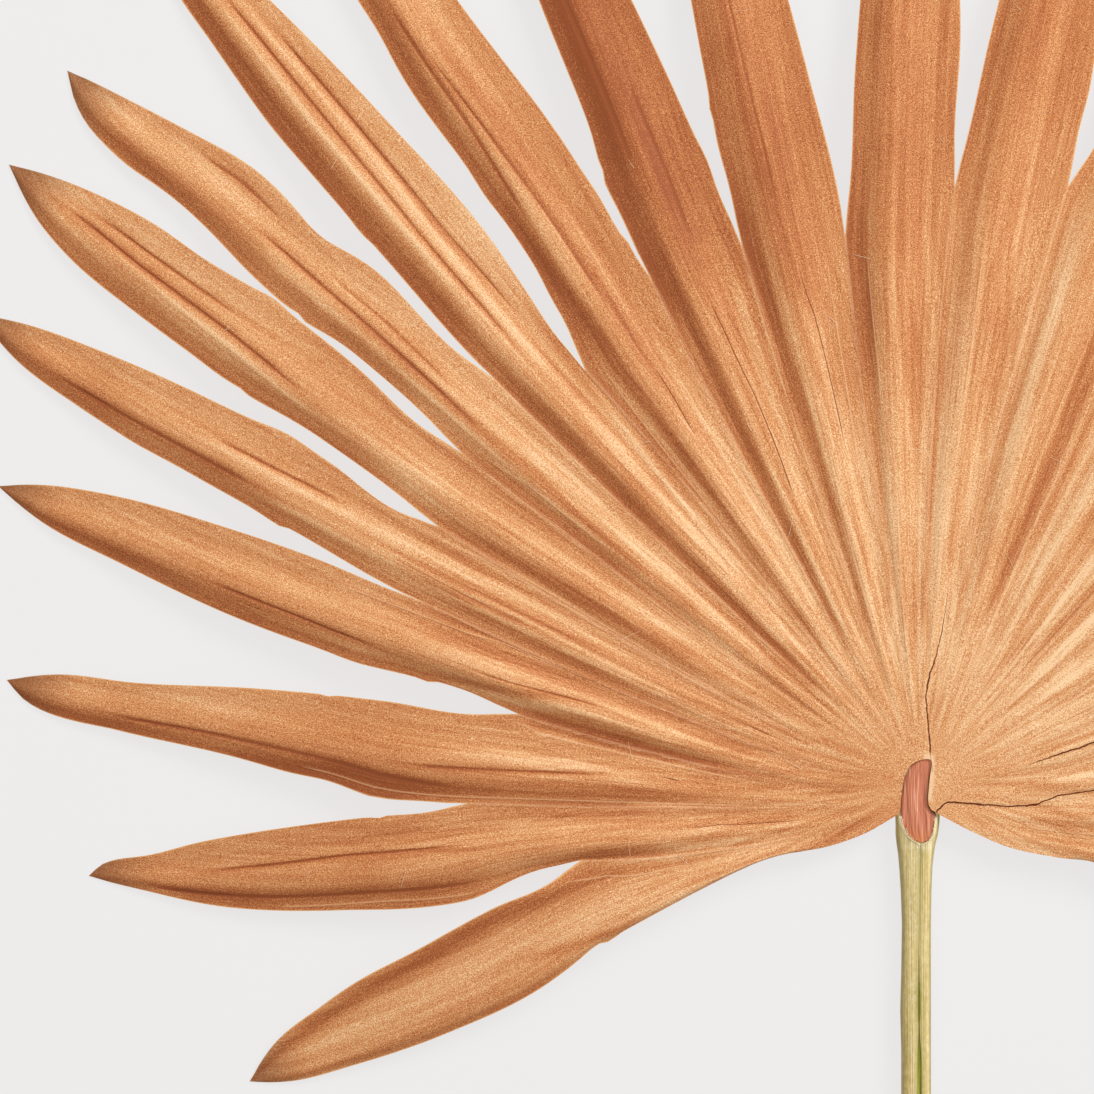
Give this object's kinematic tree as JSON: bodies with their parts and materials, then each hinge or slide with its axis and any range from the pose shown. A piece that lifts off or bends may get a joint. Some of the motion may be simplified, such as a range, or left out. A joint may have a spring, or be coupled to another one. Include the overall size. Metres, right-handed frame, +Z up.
{
  "type": "fan palm leaf",
  "caption": "Dried pleated fan palm leaf with lance-shaped segments, a reddish core where the stalk meets the blade, and a cut grooved stalk, lying face up.",
  "frame": {"origin": "on the surface that the leaf lies on, under the centre of its outline", "axes": "+Z up out of the surface, through the upper face of the blade; +Y along the leaf from the stalk's cut end to the tips; +X to the right, seen from above with the stalk towards the viewer"},
  "size_m": [0.5598, 0.588, 0.0144],
  "materials": {
    "blade": "dry copper-brown leaf, satin, fine lengthwise veins",
    "hastula": "reddish-brown lengthwise fibres, dull",
    "petiole": "yellow-green straw, satin, lengthwise fibres"
  },
  "bodies": {
    "root": {"blade": "blade", "hastula": "hastula", "petiole": "petiole"}
  },
  "joints": []
}
